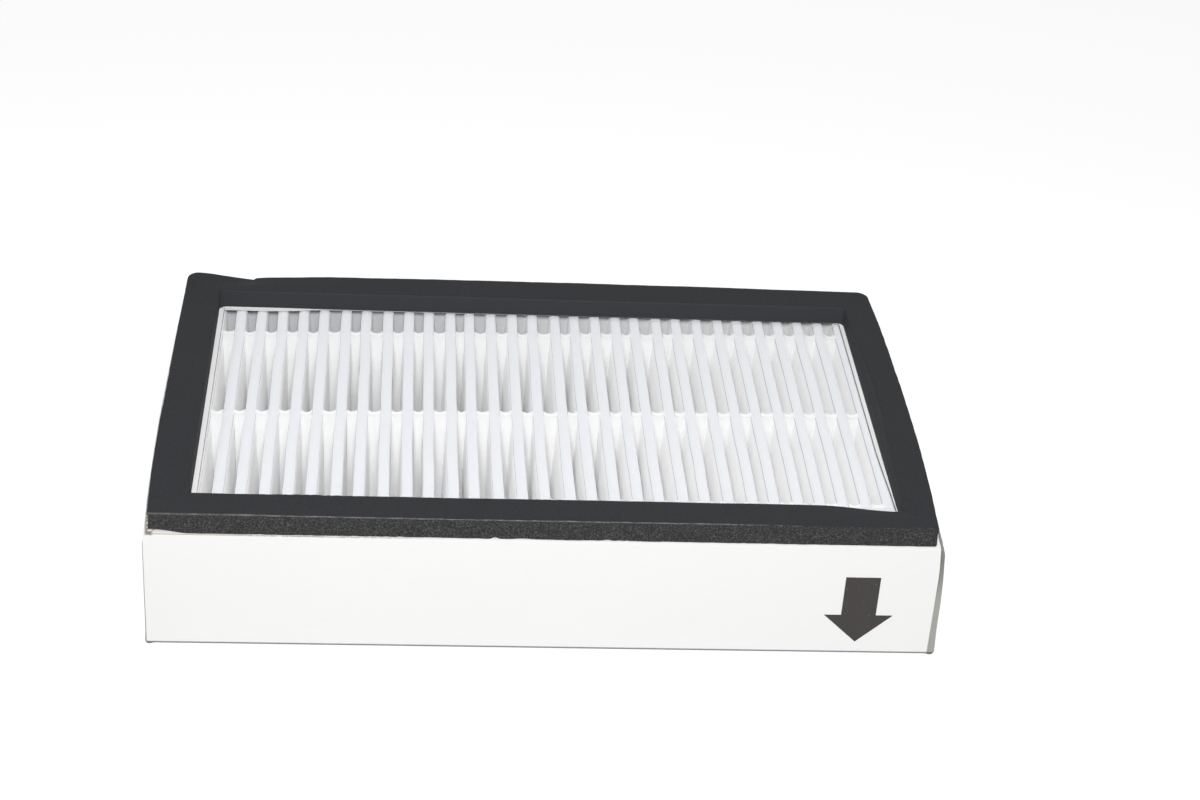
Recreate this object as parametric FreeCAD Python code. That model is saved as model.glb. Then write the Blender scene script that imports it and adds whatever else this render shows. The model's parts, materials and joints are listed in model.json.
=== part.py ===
# Exhaust filter: a pleated paper pack in a folded paperboard frame, with a foam gasket.
# Millimetres, +Z up, long side along X. The printed front wall faces -Y.
# The origin lies under the middle of the frame, in the plane of its lower face.
import FreeCAD, Part
import math
import os

from FreeCAD import Vector

# Paperboard frame
frame_length = 201.6      # along X, across the corners
frame_depth = 124.0       # along Y, across the corners
frame_height = 34.0
board = 0.8               # board thickness
side_flange = 11.7        # from the outer face to the window
front_flange = 10.6
back_flange = 9.9
side_bow = 0.8            # how far each short wall bulges at its middle
back_bow = 1.2            # how far the back wall bulges at its middle
front_bend = 0.5          # inside radius of the two front corners
back_bend = 2.2           # inside radius of the two back corners
edge_bend = 0.4           # inside radius of the folds along the top and bottom edges
mitre_gap = 0.4           # slit between neighbouring flanges
mitre_land = 2.2          # from the outer corner to where a mitre slit starts
lap_width = 14.0          # glue lap behind the left end of the back wall
seam_gap = 0.3            # open edge where the back wall ends on the lap
seam_inset = 4.0          # from the left corner to that edge

# Foam gasket
gasket_thickness = 5.5
side_setback = 1.8        # from the board's outer face
end_setback = 0.4         # the same at the front and the back
side_margin = 1.2         # flange left bare beside the window
end_margin = 0.3          # the same at the front and the back
gasket_back_radius = 3.0
gasket_inner_radius = 0.8
dent_length = 18.0        # pressed back edge near the left corner
dent_depth = 1.5
dent_width = 4.0
dent_start = 3.0          # from the gasket's left end

# Pleated sheet
paper = 0.45              # sheet thickness
fold_radius = 1.25        # at the middle of the sheet
fold_pitch = 5.98         # from crown to crown
fold_drift = 0.28         # how far the folds wander from an even pitch
fold_waves = ((1.9, 0.0, 1.0), (0.37, 1.0, 0.8))  # turn per fold, start and share of each wander
fold_flats = 6            # flats that each fold is creased in
crown_clearance = 0.4     # between the crowns and the flanges
side_seal = 1.0           # least thickness of the glue at each short wall
end_seal = 1.6            # thickness of the glue at the cut ends of the pleats

# Hot melt spacers between the pleats
bead_width = 1.4          # along Y
bead_sag = 0.7            # from a crown to where the glue meets the sheet
bead_dip = 0.5            # hollow in the top of each spacer
bead_floor = 1.2          # from the bottom of a pleat to the end of the glue
near_line_inset = 18.3    # from the pleats' front ends to the near line
far_line_inset = 14.9     # from the pleats' back ends to the far line
near_line_slant = 1.4     # how much further back its right end lies than its left end
middle_line_slant = 6.1
far_line_slant = 6.8

# Airflow arrow printed on the front wall
ink = 0.1
arrow_length = 20.2
arrow_head_width = 17.8
arrow_head_length = 8.4
arrow_shaft_width = 9.0
arrow_inset = 20.2        # from the right corner to the arrow's middle
arrow_rise = 4.15         # from the lower face to the arrow's point

# Places that follow from the sizes above
right = frame_length / 2
front = -(frame_depth + back_bow) / 2
back = front + frame_depth
ceiling = frame_height - board
flange_right = right - side_flange
flange_front = front + front_flange
flange_back = back - back_flange
paper_front = front + board + end_seal
paper_back = back - board - end_seal
crown_radius = fold_radius + paper / 2
hollow_radius = fold_radius - paper / 2
crown_z = ceiling - crown_clearance - crown_radius
trough_z = board + crown_clearance + crown_radius
room = 2 * (right - board - side_seal - crown_radius)
crown_count = int(room / fold_pitch) + 1
first_crown = -(crown_count - 1) * fold_pitch / 2
paper_right = -first_crown + crown_radius
near_line = paper_front + near_line_inset
far_line = paper_back - far_line_inset
bead_lines = (            # name, place along Y half way along the line, slant
    ("near", near_line, near_line_slant),
    ("middle", (near_line + far_line) / 2, middle_line_slant),
    ("far", far_line, far_line_slant),
)
everywhere = 2 * (frame_length + frame_depth + frame_height)


def block(x0, x1, y0, y1, z0, z1):
    return Part.makeBox(x1 - x0, y1 - y0, z1 - z0, Vector(x0, y0, z0))


def outline(side_inset, end_inset):
    """The frame's bowed outline, moved inwards."""
    x = right - side_inset
    y0 = front + end_inset
    y1 = back - end_inset
    middle = (y0 + y1) / 2
    corners = [Vector(-x, y0, 0), Vector(x, y0, 0), Vector(x, y1, 0), Vector(-x, y1, 0)]
    edges = [
        Part.LineSegment(corners[0], corners[1]),
        Part.Arc(corners[1], Vector(x + side_bow, middle, 0), corners[2]),
        Part.Arc(corners[2], Vector(0, y1 + back_bow, 0), corners[3]),
        Part.Arc(corners[3], Vector(-x - side_bow, middle, 0), corners[0]),
    ]
    return Part.Face(Part.Wire([edge.toShape() for edge in edges]))


def upright_edges(solid, at_back):
    """The corner edges of an upright prism, at its back or at its front."""
    found = []
    for edge in solid.Edges:
        start = edge.Vertexes[0].Point
        end = edge.Vertexes[-1].Point
        upright = abs(start.x - end.x) + abs(start.y - end.y) < abs(start.z - end.z)
        if upright and (start.y > 0) == at_back:
            found.append(edge)
    return found


def level_edges(solid, height):
    """The edges that lie in the plane z = height."""
    return [
        edge for edge in solid.Edges
        if abs(edge.BoundBox.ZMin - height) + abs(edge.BoundBox.ZMax - height) < board / 4
    ]


def upright_prism(face, base, top, front_radius, back_radius):
    """An upright solid of this outline with rounded corners."""
    solid = face.extrude(Vector(0, 0, top - base))
    solid.translate(Vector(0, 0, base))
    if back_radius > 0:
        solid = solid.makeFillet(back_radius, upright_edges(solid, True))
    if front_radius > 0:
        solid = solid.makeFillet(front_radius, upright_edges(solid, False))
    return solid


def cavity():
    """The room inside the frame's walls and flanges."""
    return upright_prism(outline(board, board), board, ceiling, front_bend, back_bend)


def glue_lap():
    """The board's end, folded round the left back corner behind the back wall."""
    inner = upright_prism(outline(2 * board, 2 * board), 0, frame_height, front_bend, back_bend)
    layer = cavity().cut(inner)
    return layer.common(block(-everywhere, -right + lap_width, paper_back, everywhere, 0, frame_height))


def mitre_slits():
    """Slits from each corner of the window to the fold, through both flanges."""
    slits = []
    for x_side in (-1, 1):
        for inner_y, outer_y in ((flange_front, front), (flange_back, back)):
            inner = Vector(x_side * flange_right, inner_y, 0)
            outer = Vector(x_side * right, outer_y, 0)
            way = outer - inner
            length = way.Length - mitre_land
            slit = block(-mitre_gap, length, -mitre_gap / 2, mitre_gap / 2, 0, frame_height)
            slit.rotate(Vector(0, 0, 0), Vector(0, 0, 1), math.degrees(math.atan2(way.y, way.x)))
            slit.translate(inner)
            slits.append(slit)
    return slits


def make_frame():
    """One folded board: four walls, a flange all round at the top and the bottom."""
    edge_radius = edge_bend + board
    body = upright_prism(outline(0, 0), 0, frame_height, front_bend + board, back_bend + board)
    body = body.makeFillet(edge_radius, level_edges(body, 0) + level_edges(body, frame_height))
    window = block(-flange_right, flange_right, flange_front, flange_back, 0, frame_height)
    body = body.cut([cavity(), window] + mitre_slits())
    seam_x = -right + seam_inset
    seam = block(seam_x, seam_x + seam_gap, back - 2 * board, everywhere, 0, frame_height)
    return body.cut(seam).fuse(glue_lap()).removeSplitter()


def make_gasket():
    """One die-cut foam ring on the top flange, pressed down near its left back corner."""
    base = frame_height
    top = base + gasket_thickness
    ring = upright_prism(outline(side_setback, end_setback), base, top, 0, gasket_back_radius)
    x = flange_right + side_margin
    y0 = flange_front - end_margin
    y1 = flange_back + end_margin
    hole = block(-x, x, y0, y1, base, top)
    hole = hole.makeFillet(gasket_inner_radius, upright_edges(hole, True) + upright_edges(hole, False))
    ring = ring.cut(hole)
    dent_left = -right + side_setback + dent_start
    rim = back + back_bow
    corners = [
        Vector(dent_left, rim, top),
        Vector(dent_left + dent_length, rim, top - dent_depth * (rim - back + dent_width) / dent_width),
        Vector(dent_left + dent_length, back - dent_width, top),
        Vector(dent_left + dent_length, rim, top + dent_depth),
    ]
    return ring.cut(tetrahedron(corners))


def tetrahedron(corners):
    a, b, c, d = corners
    faces = [Part.Face(Part.makePolygon([p, q, r, p])) for p, q, r in
             ((a, b, c), (a, b, d), (a, c, d), (b, c, d))]
    return Part.Solid(Part.Shell(faces))


def drift(step):
    """A small uneven shift of the fold at this step, none at the two ends."""
    last = 2 * (crown_count - 1)
    fade = math.sin(math.pi * step / last)
    waves = sum(share * math.sin(turn * step + start) for turn, start, share in fold_waves)
    return fold_drift * fade * waves


def fold_places():
    """X of each crown and of each trough between two crowns."""
    places = [first_crown + step * fold_pitch / 2 + drift(step) for step in range(2 * crown_count - 1)]
    return places[0::2], places[1::2]


def leg_lean(crown_x, trough_x):
    """Angle above the level of the normal on the leg between a crown and a trough."""
    run = abs(trough_x - crown_x)
    drop = crown_z - trough_z
    span = math.hypot(run, drop)
    return math.acos(2 * fold_radius / span) - math.atan2(drop, run)


def leg_leans():
    """The lean of every leg from left to right. The first and the last stand upright."""
    crowns, troughs = fold_places()
    leans = [0.0]
    for index, trough_x in enumerate(troughs):
        leans.append(leg_lean(crowns[index], trough_x))
        leans.append(leg_lean(crowns[index + 1], trough_x))
    leans.append(0.0)
    return leans


def fold(x, z, radius, start, end):
    """Points round one fold, as a row of small flats."""
    turns = [start + (end - start) * step / fold_flats for step in range(fold_flats + 1)]
    return [Vector(x + radius * math.cos(turn), 0, z + radius * math.sin(turn)) for turn in turns]


def sheet_line(offset):
    """The pleated line, offset upwards from the sheet's middle, from left to right."""
    crowns, troughs = fold_places()
    leans = leg_leans()
    reach = fold_radius + offset
    floor = trough_z - crown_radius
    points = [Vector(crowns[0] - reach, 0, floor)]
    for index, crown_x in enumerate(crowns):
        left, right_side = leans[2 * index: 2 * index + 2]
        points += fold(crown_x, crown_z, reach, math.pi - left, right_side)
        if index < len(troughs):
            next_left = leans[2 * index + 2]
            points += fold(troughs[index], trough_z, fold_radius - offset,
                           math.pi + right_side, 2 * math.pi - next_left)
    points.append(Vector(crowns[-1] + reach, 0, floor))
    return points


def make_pleated_sheet():
    """One sheet folded into upright pleats that run from the front to the back."""
    around = sheet_line(paper / 2) + sheet_line(-paper / 2)[::-1]
    sheet = Part.Face(Part.makePolygon(around + around[:1])).extrude(Vector(0, paper_back - paper_front, 0))
    sheet.translate(Vector(0, paper_front, 0))
    return sheet


def on_leg(crown_x, trough_x, offset, height):
    """The point at this height on a leg's surface."""
    lean = leg_lean(crown_x, trough_x)
    side = math.copysign(1, trough_x - crown_x)
    reach = fold_radius + offset - (height - crown_z) * math.sin(lean)
    return Vector(crown_x + side * reach / math.cos(lean), 0, height)


def glue_plug(left_rim, left_foot, right_foot, right_rim, hollow):
    """One spacer in a pleat, with a hollow in its open end, along the whole depth."""
    middle = (left_rim + right_rim) * 0.5 + Vector(0, 0, hollow)
    face = Part.Face(Part.makePolygon([left_rim, left_foot, right_foot, right_rim, middle, left_rim]))
    plug = face.extrude(Vector(0, frame_depth, 0))
    plug.translate(Vector(0, front, 0))
    return plug


def upper_plugs():
    """Spacers in the pleats that are open at the top."""
    crowns, troughs = fold_places()
    rim = crown_z + crown_radius - bead_sag
    foot = trough_z - hollow_radius + bead_floor
    plugs = []
    for index, trough_x in enumerate(troughs):
        rims = [on_leg(crowns[index + side], trough_x, paper / 2, rim) for side in (0, 1)]
        feet = [on_leg(crowns[index + side], trough_x, paper / 2, foot) for side in (0, 1)]
        plugs.append(glue_plug(rims[0], feet[0], feet[1], rims[1], -bead_dip))
    return plugs


def lower_plugs():
    """Spacers in the pleats that are open at the bottom."""
    crowns, troughs = fold_places()
    rim = trough_z - crown_radius + bead_sag
    foot = crown_z + hollow_radius - bead_floor
    plugs = []
    for index, crown_x in enumerate(crowns):
        ends = []
        for side, neighbour in ((-1, index - 1), (1, index)):
            if 0 <= neighbour < len(troughs):
                ends.append([on_leg(crown_x, troughs[neighbour], -paper / 2, z) for z in (rim, foot)])
            else:
                wall_x = crown_x + side * hollow_radius
                ends.append([Vector(wall_x, 0, z) for z in (rim, foot)])
        plugs.append(glue_plug(ends[0][0], ends[0][1], ends[1][1], ends[1][0], bead_dip))
    return plugs


def make_bead_line(plugs, place, slant):
    """The spacers of one line across the pack: a narrow slice of each plug."""
    slab = block(-everywhere, everywhere, -bead_width / 2, bead_width / 2, 0, frame_height)
    slab.rotate(Vector(0, 0, 0), Vector(0, 0, 1), math.degrees(math.atan2(slant, 2 * paper_right)))
    slab.translate(Vector(0, place, 0))
    return Part.makeCompound([plug.common(slab) for plug in plugs])


def make_seals():
    """Glue between the pack and the four walls."""
    room_inside = cavity()
    far = everywhere
    seals = {
        "front_seal": block(-far, far, -far, paper_front, 0, far),
        "back_seal": block(-far, far, paper_back, far, 0, far),
        "left_seal": block(-far, -paper_right, paper_front, paper_back, 0, far),
        "right_seal": block(paper_right, far, paper_front, paper_back, 0, far),
    }
    shapes = {name: room_inside.common(share) for name, share in seals.items()}
    shapes["back_seal"] = shapes["back_seal"].cut(glue_lap())
    return shapes


def make_arrow():
    """A plain arrow in ink, pointing down, near the right end of the front wall."""
    x = right - arrow_inset
    tip = arrow_rise
    neck = tip + arrow_head_length
    tail = tip + arrow_length
    half_head = arrow_head_width / 2
    half_shaft = arrow_shaft_width / 2
    corners = [
        (0, tip), (half_head, neck), (half_shaft, neck), (half_shaft, tail),
        (-half_shaft, tail), (-half_shaft, neck), (-half_head, neck), (0, tip),
    ]
    face = Part.Face(Part.makePolygon([Vector(x + dx, front, z) for dx, z in corners]))
    return face.extrude(Vector(0, -ink, 0))


def build():
    parts = {
        "frame": make_frame(),
        "gasket": make_gasket(),
        "pleated_sheet": make_pleated_sheet(),
        "airflow_arrow": make_arrow(),
    }
    parts.update(make_seals())
    upper = upper_plugs()
    lower = lower_plugs()
    for name, place, slant in bead_lines:
        parts["upper_spacers_" + name] = make_bead_line(upper, place, slant)
        parts["lower_spacers_" + name] = make_bead_line(lower, place, slant)
    return parts


os.makedirs("parts", exist_ok=True)
for node, shape in build().items():
    shape.exportStep("parts/" + node + ".step")
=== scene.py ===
# Looks of the exhaust filter: paperboard frame, foam gasket, pleated paper and hot melt glue.
# Sizes are in millimetres in the part's own frame and become metres when a mesh is made.
import json
import math

import bmesh
import bpy
from mathutils import Matrix, Vector, noise


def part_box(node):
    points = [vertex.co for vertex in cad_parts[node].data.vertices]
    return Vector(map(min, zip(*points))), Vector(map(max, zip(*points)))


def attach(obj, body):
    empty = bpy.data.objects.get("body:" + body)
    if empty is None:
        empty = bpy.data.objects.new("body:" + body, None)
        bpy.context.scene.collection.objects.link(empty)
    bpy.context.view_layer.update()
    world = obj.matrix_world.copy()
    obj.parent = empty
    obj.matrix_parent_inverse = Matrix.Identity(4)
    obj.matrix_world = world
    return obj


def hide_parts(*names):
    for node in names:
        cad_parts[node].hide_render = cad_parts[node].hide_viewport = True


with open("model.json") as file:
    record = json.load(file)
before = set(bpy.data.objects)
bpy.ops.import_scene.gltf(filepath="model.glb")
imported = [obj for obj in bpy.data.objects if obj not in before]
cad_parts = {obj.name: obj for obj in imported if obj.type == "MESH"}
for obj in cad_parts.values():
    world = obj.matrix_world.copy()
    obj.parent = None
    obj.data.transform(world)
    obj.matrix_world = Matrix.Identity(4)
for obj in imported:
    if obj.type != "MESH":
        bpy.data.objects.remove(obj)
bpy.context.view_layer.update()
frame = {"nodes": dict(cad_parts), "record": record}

MM = 0.001

# Sheet and folds, as in the part
PAPER = 0.45
FOLD_RADIUS = 1.25
FOLD_PITCH = 5.98
FOLD_DRIFT = 0.28
FOLD_WAVES = ((1.9, 0.0, 1.0), (0.37, 1.0, 0.8))
CROWN_RADIUS = FOLD_RADIUS + PAPER / 2
HOLLOW_RADIUS = FOLD_RADIUS - PAPER / 2

# Gasket, as in the part
SIDE_BOW = 0.8
BACK_BOW = 1.2
SIDE_WIDTH = 8.7          # of the foam at its left and right
FRONT_WIDTH = 10.1
BACK_WIDTH = 9.2
FRONT_RADIUS = 0.25       # at its outer corners
BACK_RADIUS = 3.0
HOLE_FRONT_RADIUS = 0.8
HOLE_BACK_RADIUS = 1.8

# Glue lines, as in the part
BEAD_WIDTH = 1.4
BEAD_SAG = 0.7
BEAD_FLOOR = 1.2


def node_box(name):
    """Lowest and highest corner of a CAD node, in millimetres."""
    low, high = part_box(name)
    return Vector(low) / MM, Vector(high) / MM


def smooth_step(low, high, value):
    """0 below low, 1 above high, and a smooth rise between."""
    share = min(1.0, max(0.0, (value - low) / (high - low)))
    return share * share * (3 - 2 * share)


def bump_at(value, middle, width):
    """A smooth hump of height 1 round a middle."""
    return math.exp(-((value - middle) / width) ** 2)


def grain(x, y=0.0, z=0.0, scale=1.0):
    """Smooth noise from about -1 to 1, the same on every run."""
    return noise.noise(Vector((x, y, z)) / scale)


def make_mesh(name, points, faces, material, slot, sharp_angle=40):
    """A piece on the body, from points in millimetres."""
    mesh = bpy.data.meshes.new(name)
    mesh.from_pydata([Vector(p) * MM for p in points], [], faces)
    mesh.validate()
    return finish_piece(name, mesh, material, sharp_angle)


def finish_piece(name, mesh, material, sharp_angle):
    """A mesh in metres made into a piece on the body."""
    mesh.shade_smooth()
    mesh.set_sharp_from_angle(angle=math.radians(sharp_angle))
    mesh.materials.clear()
    mesh.materials.append(material)
    piece = bpy.data.objects.new(name, mesh)
    bpy.context.scene.collection.objects.link(piece)
    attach(piece, "root")
    return piece


def loft(rings, closed_path=False, caps=True):
    """Points and faces of closed rings joined one to the next."""
    count = len(rings[0])
    points = [point for ring in rings for point in ring]
    faces = []
    spans = len(rings) if closed_path else len(rings) - 1
    for row in range(spans):
        here = row * count
        there = (row + 1) % len(rings) * count
        for step in range(count):
            after = (step + 1) % count
            faces.append((here + step, here + after, there + after, there + step))
    if caps and not closed_path:
        faces.append(tuple(range(count))[::-1])
        faces.append(tuple(range(len(points) - count, len(points))))
    return points, faces


board_low, board_high = node_box("frame")
gasket_low, gasket_high = node_box("gasket")
sheet_low, sheet_high = node_box("pleated_sheet")
CROWN_Z = sheet_high.z - CROWN_RADIUS
TROUGH_Z = sheet_low.z + CROWN_RADIUS


# Materials

class Material:
    """A material's node tree with short ways to add and link nodes."""

    def __init__(self, name):
        self.material = bpy.data.materials.new(name)
        self.material.use_nodes = True
        self.tree = self.material.node_tree
        self.tree.nodes.clear()
        self.output = self.tree.nodes.new("ShaderNodeOutputMaterial")
        self.shader = self.tree.nodes.new("ShaderNodeBsdfPrincipled")
        self.link(self.shader.outputs["BSDF"], self.output.inputs["Surface"])
        self.place = self.tree.nodes.new("ShaderNodeTexCoord").outputs["Object"]

    def link(self, source, target):
        self.tree.links.new(source, target)

    def new(self, kind, **settings):
        node = self.tree.nodes.new(kind)
        for key, value in settings.items():
            setattr(node, key, value)
        return node

    def set(self, **values):
        """Gives the shader these values, with _ for the spaces in their names."""
        for key, value in values.items():
            self.shader.inputs[key.replace("_", " ")].default_value = value

    def noise(self, scale, detail=3.0, roughness=0.5, place=None):
        """Noise round 0.5, with this many grains to the metre."""
        node = self.new("ShaderNodeTexNoise")
        self.link(place or self.place, node.inputs["Vector"])
        node.inputs["Scale"].default_value = scale
        node.inputs["Detail"].default_value = detail
        node.inputs["Roughness"].default_value = roughness
        return node.outputs["Fac"]

    def stretched(self, scale):
        """The object's place with each axis scaled by its own factor."""
        node = self.new("ShaderNodeMapping")
        node.inputs["Scale"].default_value = scale
        self.link(self.place, node.inputs["Vector"])
        return node.outputs["Vector"]

    def part(self, vector, letter):
        """One of the three numbers of a vector."""
        node = self.new("ShaderNodeSeparateXYZ")
        self.link(vector, node.inputs["Vector"])
        return node.outputs[letter]

    def axis(self, letter):
        """The object's place along an axis, in millimetres."""
        return self.math("MULTIPLY", self.part(self.place, letter), 1 / MM)

    def facing(self, letter):
        """How squarely a face looks along an axis, either way: 0 to 1."""
        normal = self.new("ShaderNodeNewGeometry").outputs["Normal"]
        return self.math("ABSOLUTE", self.part(normal, letter))

    def math(self, operation, first, second=0.0):
        node = self.new("ShaderNodeMath", operation=operation)
        for socket, value in zip(node.inputs, (first, second)):
            if isinstance(value, (int, float)):
                socket.default_value = value
            else:
                self.link(value, socket)
        return node.outputs["Value"]

    def ramp(self, value, low, high, smooth=True):
        """0 where value is under low, 1 where it is over high."""
        node = self.new("ShaderNodeMapRange")
        node.interpolation_type = "SMOOTHSTEP" if smooth else "LINEAR"
        self.link(value, node.inputs["Value"])
        node.inputs["From Min"].default_value = low
        node.inputs["From Max"].default_value = high
        return node.outputs["Result"]

    def under(self, value, low, high):
        """1 where value is under low, 0 where it is over high."""
        return self.math("SUBTRACT", 1.0, self.ramp(value, low, high))

    def both(self, *shares):
        """The product of some shares."""
        total = shares[0]
        for share in shares[1:]:
            total = self.math("MULTIPLY", total, share)
        return total

    def either(self, first, second):
        """The larger of two shares."""
        return self.math("MAXIMUM", first, second)

    def band(self, value, start, end, soft):
        """1 where value is between start and end, with edges this soft."""
        return self.both(self.ramp(value, start - soft, start + soft), self.under(value, end - soft, end + soft))

    def range(self, value, low, high):
        """A value from 0 to 1 turned into low to high."""
        node = self.new("ShaderNodeMapRange")
        self.link(value, node.inputs["Value"])
        node.inputs["To Min"].default_value = low
        node.inputs["To Max"].default_value = high
        return node.outputs["Result"]

    def mix(self, share, first, second):
        """A blend of two colours."""
        node = self.new("ShaderNodeMix", data_type="RGBA")
        if isinstance(share, (int, float)):
            node.inputs["Factor"].default_value = share
        else:
            self.link(share, node.inputs["Factor"])
        for socket, value in ((node.inputs["A"], first), (node.inputs["B"], second)):
            if isinstance(value, tuple):
                socket.default_value = (*value, 1.0)
            else:
                self.link(value, socket)
        return node.outputs["Result"]

    def colour(self, value):
        self.link(value, self.shader.inputs["Base Color"])

    def rough(self, value):
        self.link(value, self.shader.inputs["Roughness"])

    def bump(self, height, distance, strength=1.0):
        """Bumps of this height in metres."""
        node = self.new("ShaderNodeBump")
        node.inputs["Distance"].default_value = distance
        node.inputs["Strength"].default_value = strength
        self.link(height, node.inputs["Height"])
        if self.shader.inputs["Normal"].is_linked:
            self.link(self.shader.inputs["Normal"].links[0].from_socket, node.inputs["Normal"])
        self.link(node.outputs["Normal"], self.shader.inputs["Normal"])


# Marks on the board: where each begins and is full, or where it lies, along the axis named
CREASE_SHADE_Z = (33.58, 33.85)           # the beige line of painted shade in the crease along the front's upper edge
CREASE_SHADE_END_X = (-50.0, -20.0)       # it fades out to the right
CREASE_SHADE_WHOLE_X = (-82.0, -70.0)     # left of here it has no gaps
CREASE_SHADE_DARKER_X = (-88.0, -70.0)    # and it darkens to the right over this stretch
FRONT_FACE = (0.3, 0.6)            # how far behind the front a point still belongs to it
CORNER_SHADE_X = (99.85, 99.98)             # the grey band of painted shade up the right front corner
CORNER_SHADE_LEAN_Z = (24.0, 38.0)          # it leans to the left by this much at its top
CORNER_SHADE_LEAN = 0.75
CORNER_SHADE_SWING_Y = (2.0, 14.0)          # and swings out again behind the front
CORNER_SHADE_SWING = 1.3
CORNER_SHADE_DEEP_Y = (1.2, 2.0)            # how far behind the front it reaches on the wall
CORNER_SHADE_TOP_Y = (12.0, 16.0)           # and on the upper face
UPPER_FACE_Z = (33.2, 33.6)        # the upper face lies above this
CORNER_SHADE_DARKER_Z = (16.0, 31.0)        # it darkens upwards over this height
SHADE_LINE_X = (99.92, 100.08)         # the darker line of painted shade along it
SHADE_LINE_Z = (12.0, 28.0)
LEFT_EDGE_X = (-100.45, -100.2)    # painted shade on the folds at the left and along the foot, drawn as thin dark lines
UNDERSIDE_Z = (0.8, 1.2)
EDGES_PALER_Z = (4.0, 30.0)        # these lines are paler further up
FOLD_SHADE_Z = (32.8, 33.4)               # the outer fold under the foam, painted grey as shade
TUCK_X = (-98.5, -97.5)            # the open end of the fold at the left front corner
TUCK_Z = (33.2, 33.5)
WINDOW_Z = (32.5, 33.92)           # the cut edge of the window, painted dark as the shadow in the gap beside it
WINDOW_X = (91.5, 92.5)


def board_material():
    """White clay-coated board, smooth, with faint fibre, and painted shade: a beige line in its top fold, a grey
    band up its right front corner and dark lines along its folds and window edge.
    """
    m = Material("white_board")
    x, y, z = (m.axis(letter) for letter in "XYZ")
    behind = m.math("SUBTRACT", y, board_low.y)
    sideways = m.facing("X")
    at_front = m.under(behind, *FRONT_FACE)
    fibre = m.noise(900, 4, 0.6, m.stretched((0.4, 1, 1)))
    cloud = m.noise(28, 3)
    white = m.mix(m.range(cloud, 0.0, 0.6), (0.85, 0.85, 0.845), (0.87, 0.87, 0.865))
    body = m.mix(m.range(m.ramp(fibre, 0.55, 0.75), 0.0, 0.3), white, (0.82, 0.82, 0.81))

    # painted shade: a beige line in the crease of the front's upper fold, broken up by noise and darker to the
    # right
    worn = m.ramp(m.noise(700, 4, 0.75), 0.3, 0.6)
    mostly = m.either(worn, m.under(x, *CREASE_SHADE_WHOLE_X))
    crease_shade = m.both(m.band(z, *CREASE_SHADE_Z, 0.1), at_front, m.under(x, *CREASE_SHADE_END_X), mostly)
    beige = m.mix(m.ramp(x, *CREASE_SHADE_DARKER_X), (0.56, 0.45, 0.34), (0.26, 0.21, 0.17))
    body = m.mix(crease_shade, body, beige)

    # painted shade: a grey band up the right front corner, darker upwards, with a darker line along it
    curved = m.math("ADD", x, m.range(m.ramp(z, *CORNER_SHADE_LEAN_Z), 0.0, CORNER_SHADE_LEAN))
    curved = m.math("SUBTRACT", curved, m.range(m.ramp(behind, *CORNER_SHADE_SWING_Y), 0.0, CORNER_SHADE_SWING))
    on_top = m.math("SUBTRACT", m.ramp(z, *UPPER_FACE_Z), m.ramp(behind, *CORNER_SHADE_TOP_Y))
    near = m.either(m.under(behind, *CORNER_SHADE_DEEP_Y), on_top)
    corner_shade = m.both(m.ramp(curved, *CORNER_SHADE_X, smooth=False), near)
    grey = m.mix(m.ramp(z, *CORNER_SHADE_DARKER_Z), (0.4, 0.39, 0.365), (0.21, 0.2, 0.18))
    streaks = m.ramp(m.noise(900, 3, 0.6, m.stretched((1, 1, 0.08))), 0.4, 0.6)
    shade_line = m.both(m.band(curved, *SHADE_LINE_X, 0.1), m.ramp(z, *SHADE_LINE_Z))
    edge = m.mix(m.range(streaks, 0.0, 0.3), grey, (0.36, 0.35, 0.32))
    body = m.mix(corner_shade, body, m.mix(shade_line, edge, (0.07, 0.065, 0.055)))

    # painted shade: thin dark lines on the left front fold and along the foot
    edges = m.either(m.both(m.under(x, *LEFT_EDGE_X), at_front), m.under(z, *UNDERSIDE_Z))
    shade = m.mix(m.ramp(z, *EDGES_PALER_Z), (0.1, 0.105, 0.12), (0.34, 0.3, 0.26))
    body = m.mix(m.range(edges, 0.0, 0.9), body, shade)
    # painted shade: a grey line on the outer folds under the foam
    rim = m.both(m.ramp(sideways, 0.3, 0.7), m.ramp(z, *FOLD_SHADE_Z))
    body = m.mix(m.range(rim, 0.0, 0.6), body, (0.3, 0.3, 0.295))
    frayed = m.ramp(m.noise(800, 2), 0.42, 0.5)
    tuck = m.both(m.under(x, *TUCK_X), m.ramp(z, *TUCK_Z), near, frayed)
    body = m.mix(m.range(tuck, 0.0, 0.8), body, (0.2, 0.155, 0.11))
    # painted shade: the window's cut edge is dark as the shadow in the gap beside it
    in_window = m.under(m.math("ABSOLUTE", x), *WINDOW_X)
    window = m.both(m.band(z, *WINDOW_Z, 0.04), m.ramp(sideways, 0.7, 0.9), in_window)
    body = m.mix(m.range(window, 0.0, 0.95), body, (0.12, 0.12, 0.115))
    m.colour(body)
    m.rough(m.range(fibre, 0.42, 0.62))
    m.set(Specular_IOR_Level=0.35, Diffuse_Roughness=1.0)
    m.bump(fibre, 0.00002, 0.6)
    m.bump(cloud, 0.0002, 0.25)
    return m.material


# Between the foam's inner walls and its outer ones, which are cut and show pores
OUTER_X = (93.0, 96.0)
OUTER_Y = (55.0, 57.0)
ARRIS_FADE_X = (30.0, 80.0)        # the pale line along its edges fades out to the right


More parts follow.
